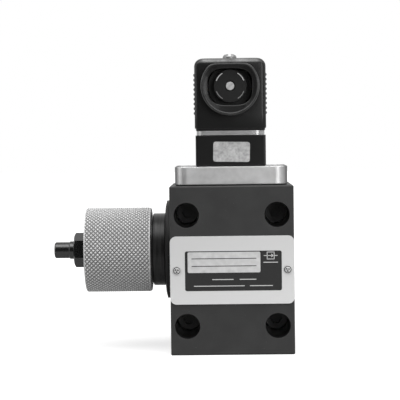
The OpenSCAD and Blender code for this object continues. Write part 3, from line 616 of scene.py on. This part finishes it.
KNURL_ROUND, KNURL_ALONG = 120, 30
KNURL_DEPTH, KNURL_FLAT = 0.4, 0.22
KNOB_LOW, KNOB_HIGH = extent("knob")
KNOB_R = (KNOB_HIGH.z - KNOB_LOW.z) / 2
AXIS_Y, AXIS_Z = (KNOB_LOW.y + KNOB_HIGH.y) / 2, (KNOB_LOW.z + KNOB_HIGH.z) / 2
KNURL_LEFT, KNURL_RIGHT = KNOB_LOW.x + 0.55, KNOB_HIGH.x - 0.6
KNOB_BORE, KNOB_HOLLOW_R, KNOB_HOLLOW = 4.03, 13.55, 17.0
KNOB_FACE_R, TURNED_PITCH = KNOB_R - 1.3, 0.28


def about_axis(radius, angle, along):
    return (along, AXIS_Y + radius * math.cos(angle), AXIS_Z + radius * math.sin(angle))


def knurl_point(i, j):
    """Point of the knurl at a half pitch i round and j along: peaks where i + j is odd."""
    off = abs((i + j) % 2 - 1)
    rise = min(1.0, (1 - off) / (1 - KNURL_FLAT))
    radius = KNOB_R - KNURL_DEPTH * (1 - rise)
    along = KNURL_LEFT + (KNURL_RIGHT - KNURL_LEFT) * j / KNURL_ALONG
    return about_axis(radius, math.tau * i / KNURL_ROUND, along)


def knob():
    points, faces, at = [], [], {}

    def vertex(i, j):
        key = (round(i % KNURL_ROUND, 3) % KNURL_ROUND, round(j, 3))
        if key not in at:
            at[key] = len(points)
            points.append(knurl_point(*key))
        return at[key]

    def near(peak, other):
        return tuple(a + (b - a) * KNURL_FLAT for a, b in zip(peak, other))

    for i in range(KNURL_ROUND):
        for j in range(KNURL_ALONG):
            square = [(i, j), (i + 1, j), (i + 1, j + 1), (i, j + 1)]
            if (i + j) % 2:
                square = square[1:] + square[:1]
            low_a, peak_b, low_c, peak_d = square
            for first, peak, second in ((low_a, peak_b, low_c), (low_c, peak_d, low_a)):
                one, two = vertex(*near(peak, first)), vertex(*near(peak, second))
                faces.append((vertex(*first), one, two, vertex(*second)))
                faces.append((one, vertex(*peak), two))
    rims = []
    for j in (0, KNURL_ALONG):
        rims.append(sorted((key[0], index) for key, index in at.items() if key[1] == j))
    left, right = KNOB_LOW.x, KNOB_HIGH.x
    rim = [(0.3, 0.46), (0.24, 0.36), (0.3, 0.2), (0.48, 0.07), (0.75, 0.01), (1.0, 0.0)]
    outside = ([(KNOB_R - drop, left + back) for drop, back in rim]
               + [(KNOB_BORE + 0.4, left), (KNOB_BORE, left + 0.4)])
    inside = ([(KNOB_R - drop, right - back) for drop, back in rim]
              + [(KNOB_HOLLOW_R + 0.4, right), (KNOB_HOLLOW_R + 0.1, right - 0.1),
                 (KNOB_HOLLOW_R, right - 0.4), (KNOB_HOLLOW_R, right - KNOB_HOLLOW),
                 (KNOB_BORE, right - KNOB_HOLLOW)])
    ends = []
    for row, profile in zip(rims, (outside, inside)):
        before = [index for _, index in row]
        for radius, along in profile:
            ring = []
            for step, _ in row:
                ring.append(len(points))
                points.append(about_axis(radius, math.tau * step / KNURL_ROUND, along))
            faces += strip(before, ring)
            before = ring
        ends.append(before)
    faces += strip(*ends)
    piece("knob_knurled", points, faces, "knob", "knob_aluminium", knob_aluminium(), ("knob",), 24)


# ---- Plug housing with its ribs and cable boss ----

PLUG_LOW, PLUG_HIGH = extent("plug_housing")
RIB_OUT = 0.45
PLUG_HALF = (PLUG_HIGH.x - PLUG_LOW.x) / 2 - RIB_OUT
STACK_Y = PLUG_HIGH.y - PLUG_HALF
PLUG_FACE = STACK_Y - PLUG_HALF
DISC_LOW, DISC_HIGH = extent("blanking_disc")
DISC_RECESS_R = 2.0
CABLE_Z = (DISC_LOW.z + DISC_HIGH.z) / 2
RIB_TOP, RIB_PITCH, RIB_COUNT, RIB_R, RIB_HALF = PLUG_HIGH.z - 6.45, 1.87, 9, 0.65, 10.5
PLUG_SIDE_R, PLUG_EDGE_R, PLUG_CORNER = 3.3, 2.6, 1.8
PLUG_WALL, PLUG_ROOF = 2.1, 3
SCREW_BORE_R, RECESS_R, RECESS_DEPTH = 1.8, 3.5, 0.8
BOSS_R, BOSS_TOP, BOSS_SQUARE, BOSS_STEPS = 11.4, 8.75, 18, 144
CABLE_HALF, CABLE_UP, CABLE_DOWN, CABLE_SQUARE = 8.55, 6.65, 7.45, 3.1


def rib_rise(z):
    """How far the nearest rib stands out of the side at this height."""
    nearest = min(max(round((RIB_TOP - z) / RIB_PITCH), 0), RIB_COUNT - 1)
    off = abs(z - (RIB_TOP - nearest * RIB_PITCH))
    return max(0.0, math.sqrt(max(RIB_R ** 2 - off ** 2, 0)) - (RIB_R - RIB_OUT))


def plug_ring(z, inset):
    """Outline of the housing at one height: corners, plain front and back, ribbed sides."""
    drop = PLUG_HIGH.z - z

    def shrink(radius):
        return radius - math.sqrt(max(radius ** 2 - max(radius - drop, 0) ** 2, 0)) + inset

    half_x, half_y = PLUG_HALF - shrink(PLUG_SIDE_R), PLUG_HALF - shrink(PLUG_EDGE_R)
    ring = []
    for x_way, y_way, start in ((1, 1, 0), (-1, 1, 90), (-1, -1, 180), (1, -1, 270)):
        ring += arc(PLUG_CORNER, math.radians(start), math.radians(start + 90), 6,
                    (x_way * (half_x - PLUG_CORNER), y_way * (half_y - PLUG_CORNER)))
        if start in (90, 270):
            side = 1 if start == 270 else -1
            reach = min(RIB_HALF + 0.05, half_y - PLUG_CORNER - 0.05)
            for y in (-1, -0.975, -0.92, -0.4, 0, 0.4, 0.92, 0.975, 1):
                fade = min(1.0, (1 - abs(y)) * RIB_HALF / 0.5) ** 0.5
                ring.append((side * (half_x + rib_rise(z) * fade), side * y * reach))
    return [(x, y + STACK_Y, z) for x, y in ring]


def boss_ring(radius, y, top):
    """Circle about the cable axis, cut off flat above with rounded corners."""
    ring = []
    for index in range(BOSS_STEPS):
        angle = math.tau * index / BOSS_STEPS
        reach = (radius ** -BOSS_SQUARE
                 + (max(math.cos(angle), 0.01) / top) ** BOSS_SQUARE) ** (-1 / BOSS_SQUARE)
        ring.append((reach * math.sin(angle), y, CABLE_Z + reach * math.cos(angle)))
    return ring


def cable_ring(grow, y):
    """Outline of the cable opening: a rounded square, less high above the axis than below."""
    ring = []
    for index in range(BOSS_STEPS):
        angle = math.tau * index / BOSS_STEPS
        upward, across = math.cos(angle), math.sin(angle)
        height = grow + (CABLE_UP if upward > 0 else CABLE_DOWN)
        reach = (abs(across / (CABLE_HALF + grow)) ** CABLE_SQUARE
                 + abs(upward / height) ** CABLE_SQUARE) ** (-1 / CABLE_SQUARE)
        ring.append((reach * across, y, CABLE_Z + reach * upward))
    return ring


def plug_levels():
    """Heights and insets of the housing's rings: foot groove, ribs, rounded top."""
    low, high = PLUG_LOW.z, PLUG_HIGH.z
    levels = [(low + up, inset) for up, inset in ((0, 0.65), (0.12, 0.45), (0.8, 0.4),
                                                  (0.95, 0.08), (1.2, 0))]
    for index in range(RIB_COUNT - 1, -1, -1):
        levels += [(RIB_TOP - index * RIB_PITCH + off, 0)
                   for off in (-0.62, -0.56, -0.45, -0.3, -0.1, 0.1, 0.3, 0.45, 0.56, 0.62)]
    return levels + [(high - PLUG_SIDE_R * (1 - math.sin(math.radians(angle))), 0)
                     for angle in range(0, 91, 9)]


def plug_housing():
    low, high, front = PLUG_LOW.z, PLUG_HIGH.z, PLUG_LOW.y
    housing = piece("plug_housing_ribbed", *loft([plug_ring(*level) for level in plug_levels()]),
                    "plug", "plug_plastic", plug_plastic(), ("plug_housing",))
    boss = [boss_ring(BOSS_R + 0.15, PLUG_FACE + 1.4, BOSS_TOP),
            boss_ring(BOSS_R, PLUG_FACE - 0.5, BOSS_TOP)]
    boss += [boss_ring(BOSS_R - inset, front + back, BOSS_TOP - inset)
             for inset, back in ((0, 0.55), (0.08, 0.3), (0.25, 0.1), (0.5, 0))]
    join(housing, loft(boss), "UNION")
    mouth = [cable_ring(grow, y) for grow, y in ((0, PLUG_FACE + 2.2), (0, front + 1.25),
                                                 (0.1, front + 0.75), (0.35, front + 0.55))]
    mouth += [boss_ring(BOSS_R - inset, front + back, BOSS_TOP - inset)
              for inset, back in ((1.1, 0.42), (0.85, 0.25), (0.75, 0), (0.7, -0.4))]
    join(housing, loft(mouth), "DIFFERENCE")
    inner = PLUG_HALF - PLUG_WALL
    cavity = [[(x, y + STACK_Y, z) for x, y in round_rect(inner, inner, 1)]
              for z in (low - 0.1, high - PLUG_ROOF)]
    join(housing, loft(cavity), "DIFFERENCE")
    floor = high - RECESS_DEPTH
    recess = turned([(SCREW_BORE_R, high - PLUG_ROOF - 1), (SCREW_BORE_R, floor),
                     (RECESS_R, floor), (RECESS_R, high - 0.1), (RECESS_R + 0.3, high + 0.2)], 48,
                    lambda radius, angle, z: (radius * math.cos(angle),
                                              STACK_Y + radius * math.sin(angle), z))
    join(housing, loft(recess), "DIFFERENCE")
    soften(housing, 30)


# ---- Profile gasket between base and plug ----

GASKET_R, GASKET_HOLE = 3.6, 8.5


def gasket():
    low, high = extent("plug_gasket")
    half, height = (high.x - low.x) / 2, high.z - low.z
    profile = [(0, 0.12), (0.05, 0), (0.29, 0), (0.32, 0.12), (0.35, 0.12), (0.38, 0), (0.62, 0),
               (0.65, 0.12), (0.68, 0.12), (0.71, 0), (0.95, 0), (1, 0.12)]
    skin = [[(x, y + STACK_Y, low.z + part * height)
             for x, y in round_rect(half - inset, half - inset, GASKET_R - inset, 9)]
            for part, inset in profile]
    inner = [[(x, y + STACK_Y, low.z + part * height)
              for x, y in round_rect(GASKET_HOLE, GASKET_HOLE, 2, 9)] for part in (1, 0)]
    piece("plug_gasket_profile", *loft(skin + inner, closed=True), "valve", "gasket_rubber",
          gasket_rubber(), ("plug_gasket",), 25)


# ---- Print on the data plate: plain fields and rules, and the sign of a pressure valve ----

PLATE_LOW, PLATE_HIGH = extent("nameplate")
PLATE_Z = (PLATE_LOW.z + PLATE_HIGH.z) / 2
# Fields as x, z, width, height and corner radius, from the plate's middle
PRINT_BLACK = (0.43, -0.3, 37.35, 15.4, 0.75)
PRINT_FIELD = (-3.15, 3.05, 28.05, 8.0, 0.55)


def printed(name, shapes, shade, lift):
    """Closed flat shapes of (x, z, width, height, corner radius, turn) just proud of the plate."""
    points, faces = [], []
    for x, z, width, height, corner, turn in shapes:
        outline = round_rect(width / 2, height / 2, corner, 5)
        cos, sin = math.cos(math.radians(turn)), math.sin(math.radians(turn))
        outline = [(x + u * cos - v * sin, z + u * sin + v * cos) for u, v in outline]
        some, more = loft([[(u, PLATE_LOW.y - lift * side, PLATE_Z + v) for u, v in outline]
                           for side in (-0.4, 0.7, 1)])
        faces += [tuple(index + len(points) for index in face) for face in more]
        points += some
    return piece(name, points, faces, "valve", "nameplate_aluminium", shade)


def plate_print():
    black = print_ink("print_black_look", grey(30), grey(40))
    light = print_ink("print_light_look", grey(176), grey(196))
    printed("nameplate_field_black", [(*PRINT_BLACK, 0)], black, 0.02)
    printed("nameplate_field_silver", [(*PRINT_FIELD, 0)], field_aluminium(), 0.05)
    rules = [(-3.15, 1.6, 25.0, 0.3, 0.05, 0), (-3.15, 4.5, 25.0, 0.3, 0.05, 0)]
    printed("nameplate_rules_dark", rules, black, 0.06)
    left = PRINT_BLACK[0] - PRINT_BLACK[2] / 2
    rows = [(left + at, z, width, 0.3, 0.05, 0)
            for at, z, width in ((14.6, -3.6, 8.2), (24.3, -3.6, 6.4), (13.2, -6.1, 19.6),
                                 (29.4, -6.1, 8.8), (33.1, 2.9, 5.6))]
    middle, high, side, line = left + 33.1, 5.5, 2.7, 0.26
    rows += [(middle + across, high, line, side, 0.05, 0) for across in (-side / 2, side / 2)]
    rows += [(middle, high + up, side + line, line, 0.05, 0) for up in (-side / 2, side / 2)]
    rows += [(middle + across, high, 1.1, line, 0.04, 0) for across in (-2.1, 2.1)]
    rows += [(middle - 0.05, high, 2.0, line, 0.04, 0),
             (middle + 0.6, high + 0.3, 1.0, line, 0.04, -38),
             (middle + 0.6, high - 0.3, 1.0, line, 0.04, 38)]
    printed("nameplate_rules_light", rows, light, 0.035)


# ---- Drive rivets of the data plate ----

def rivets():
    profile = [(0.8, 4.0), (0.8, -0.02), (1.66, -0.02), (1.66, 0.28), (1.6, 0.36), (1.46, 0.38),
               (1.4, 0.3), (1.36, 0.1), (1.16, 0.1), (1.12, 0.3), (1.04, 0.4), (0.82, 0.44),
               (0.76, 0.45), (0.3, 0.46), (0.24, 0.46)]
    low, high = extent("nameplate_rivets")
    middle = (low.z + high.z) / 2
    reach = (high.x - low.x) / 2 - 1.55
    points, faces = [], []
    for side in (-1, 1):
        rings = []
        for radius, out in profile:
            depth = -out if out < 3 else out
            notch = 0.36 if radius < 0.8 and 0.4 < out < 1 else 0
            rings.append([(side * reach + radius * math.cos(math.tau * i / 36),
                           PLATE_LOW.y + depth + notch * (i % 12 < 6),
                           middle + radius * math.sin(math.tau * i / 36)) for i in range(36)])
        some, more = loft(rings)
        faces += [tuple(index + len(points) for index in face) for face in more]
        points += some
    piece("nameplate_rivets_headed", points, faces, "valve", "bright_steel", rivet_steel(),
          ("nameplate_rivets",), 40)


# ---- Main spring: leaves room for the seat's own travel ----

SEAT_ROOM = 0.62


def spring():
    low, high = extent("main_spring")
    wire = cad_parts["main_spring"].data
    length = high.x - low.x - SEAT_ROOM
    share = length / (high.x - low.x)
    points = []
    for vertex in wire.vertices:
        x, y, z = vertex.co / MM
        points.append((high.x + (x - high.x) * share, y, z))
    faces = [tuple(face.vertices) for face in wire.polygons]
    wound = piece("main_spring_wound", points, faces, "valve", "spring_steel", spring_steel(),
                  ("main_spring",), 40)
    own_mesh(wound)


# ---- Studio: world, floor and card ----

WORLD_LIGHT = 0.4
FLOOR_HALF, FLOOR_PAINT, FLOOR_SHEEN = 3.0, 0.45, 0.08
FLOOR_LIFT = (("From Min", 0.1), ("From Max", 0.5), ("To Min", 0.6), ("To Max", 1.0))
CARD_HALF, CARD_NEAR, CARD_FAR, CARD_TOP = 2.4, -0.16, -1.7, 1.5


def rays(tree, kinds):
    """1 where a ray is of one of the kinds."""
    path = tree.nodes.new("ShaderNodeLightPath")
    total = path.outputs[kinds[0]]
    for kind in kinds[1:]:
        node = tree.nodes.new("ShaderNodeMath")
        node.operation = "MAXIMUM"
        tree.links.new(total, node.inputs[0])
        tree.links.new(path.outputs[kind], node.inputs[1])
        total = node.outputs[0]
    return total


BACKDROP_RAYS = ("Is Camera Ray", "Is Glossy Ray", "Is Transmission Ray")


def make_world():
    world = bpy.data.worlds.new("studio")
    bpy.context.scene.world = world
    world.use_nodes = True
    tree = world.node_tree
    tree.nodes.clear()
    out = tree.nodes.new("ShaderNodeOutputWorld")
    mix = tree.nodes.new("ShaderNodeMixShader")
    seen = tree.nodes.new("ShaderNodeBackground")
    lit = tree.nodes.new("ShaderNodeBackground")
    seen.inputs["Strength"].default_value = 1.0
    seen.inputs["Color"].default_value = (1, 1, 1, 1)
    lit.inputs["Strength"].default_value = WORLD_LIGHT
    lit.inputs["Color"].default_value = (1, 1, 1, 1)
    tree.links.new(rays(tree, BACKDROP_RAYS), mix.inputs[0])
    tree.links.new(lit.outputs[0], mix.inputs[1])
    tree.links.new(seen.outputs[0], mix.inputs[2])
    tree.links.new(mix.outputs[0], out.inputs["Surface"])


def make_floor():
    """White floor that keeps the shadow and turns into the white backdrop further away."""
    mesh = bpy.data.meshes.new("floor")
    mesh.from_pydata([(FLOOR_HALF * x, FLOOR_HALF * y, 0)
                      for x, y in ((-1, -1), (1, -1), (1, 1), (-1, 1))], [], [(0, 1, 2, 3)])
    floor = bpy.data.objects.new("floor", mesh)
    floor.location.z = cad_box[0][2]
    bpy.context.scene.collection.objects.link(floor)
    mat = bpy.data.materials.new("floor_white")
    mat.use_nodes = True
    tree = mat.node_tree
    tree.nodes.clear()
    out = tree.nodes.new("ShaderNodeOutputMaterial")
    both = tree.nodes.new("ShaderNodeAddShader")
    paint = tree.nodes.new("ShaderNodeBsdfDiffuse")
    paint.inputs["Color"].default_value = (FLOOR_PAINT, FLOOR_PAINT, FLOOR_PAINT, 1)
    glow = tree.nodes.new("ShaderNodeEmission")
    place = tree.nodes.new("ShaderNodeTexCoord")
    away = tree.nodes.new("ShaderNodeVectorMath")
    away.operation = "LENGTH"
    tree.links.new(place.outputs["Object"], away.inputs[0])
    fade = tree.nodes.new("ShaderNodeMapRange")
    for name, number in FLOOR_LIFT:
        fade.inputs[name].default_value = number
    tree.links.new(away.outputs["Value"], fade.inputs["Value"])
    lift = tree.nodes.new("ShaderNodeMath")
    lift.operation = "MULTIPLY_ADD"
    tree.links.new(fade.outputs[0], lift.inputs[1])
    tree.links.new(rays(tree, ("Is Camera Ray", "Is Transmission Ray")), lift.inputs[0])
    soft = tree.nodes.new("ShaderNodeMath")
    soft.operation = "MULTIPLY"
    soft.inputs[1].default_value = FLOOR_SHEEN
    tree.links.new(rays(tree, ("Is Camera Ray", "Is Glossy Ray")), soft.inputs[0])
    tree.links.new(soft.outputs[0], lift.inputs[2])
    tree.links.new(lift.outputs[0], glow.inputs["Strength"])
    tree.links.new(paint.outputs[0], both.inputs[0])
    tree.links.new(glow.outputs[0], both.inputs[1])
    tree.links.new(both.outputs[0], out.inputs["Surface"])
    mesh.materials.append(mat)


def make_card():
    """Dark studio card behind and under the camera: only mirror-like surfaces see it."""
    mesh = bpy.data.meshes.new("card")
    wide, foot = CARD_HALF, cad_box[0][2] + 0.002
    mesh.from_pydata([(-wide, CARD_NEAR, foot), (wide, CARD_NEAR, foot), (wide, CARD_FAR, foot),
                      (-wide, CARD_FAR, foot), (wide, CARD_FAR, CARD_TOP),
                      (-wide, CARD_FAR, CARD_TOP)], [], [(0, 1, 2, 3), (3, 2, 4, 5)])
    card = bpy.data.objects.new("card", mesh)
    bpy.context.scene.collection.objects.link(card)
    mat = bpy.data.materials.new("card_dark")
    mat.use_nodes = True
    mat.node_tree.nodes["Principled BSDF"].inputs["Base Color"].default_value = grey(60)
    mat.node_tree.nodes["Principled BSDF"].inputs["Roughness"].default_value = 0.9
    mesh.materials.append(mat)
    card.visible_camera = False
    card.visible_diffuse = False
    card.visible_shadow = False
    card.visible_transmission = False


# ---- Build ----

make_camera()
make_world()
make_floor()
make_card()
softbox("softbox_top", (0.0, -0.25, 0.72), (0, -0.02, 0.03), (1.4, 0.5), 7.6)
softbox("softbox_right", (0.42, -0.86, 0.22), (0, -0.02, 0.02), (0.45, 0.5), 3.4)
softbox("softbox_left", (-0.85, -0.2, 0.25), (0, -0.02, 0.02), (0.3, 0.5), 0.7)
softbox("softbox_front", (-0.2, -0.95, 0.4), (0, -0.02, 0.02), (0.8, 0.8), 2.0, False)
dress_frame()
knob()
plug_housing()
gasket()
plate_print()
rivets()
spring()

bpy.context.scene.view_settings.view_transform = "Standard"
